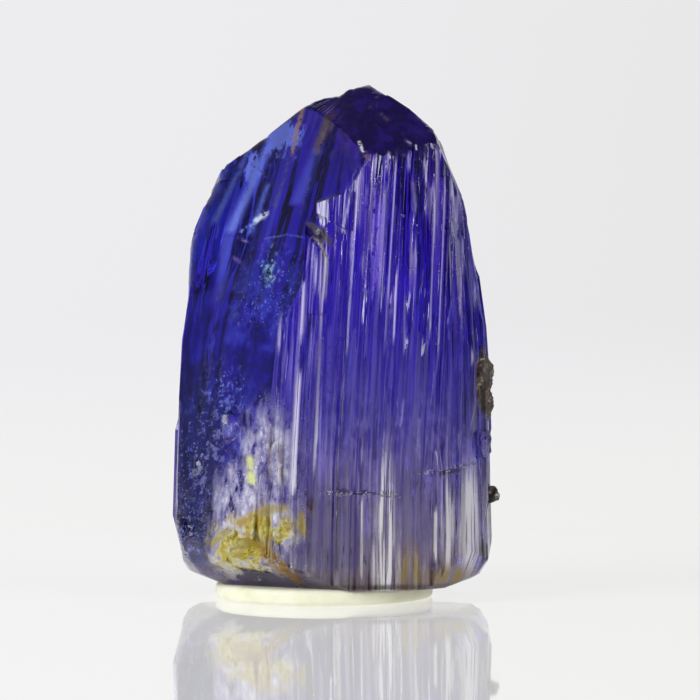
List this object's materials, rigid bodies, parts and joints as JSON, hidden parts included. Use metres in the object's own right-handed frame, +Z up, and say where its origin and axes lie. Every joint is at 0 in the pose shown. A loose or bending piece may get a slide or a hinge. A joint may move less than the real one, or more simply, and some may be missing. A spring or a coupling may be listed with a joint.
{
  "type": "rough tanzanite crystal",
  "caption": "Rough tanzanite: a broad striated violet-blue crystal, smooth window face on one side, paler at its broken foot, standing on a pressed putty pad.",
  "frame": {"origin": "on the floor, at the underside of the putty pad, under the middle of the whole part's bounding box", "axes": "+Z up along the crystal's length; -Y is the striated front; +X is to the right as seen from the front"},
  "size_m": [0.0194, 0.013, 0.0303],
  "materials": {
    "tanzanite": "vitreous, transparent, deep violet-blue fading to lilac and clear at the foot, with clouded and iron-stained patches",
    "putty": "matt cream mounting putty"
  },
  "bodies": {
    "root": {"tanzanite_crystal": "tanzanite", "mounting_putty": "putty"}
  },
  "joints": []
}
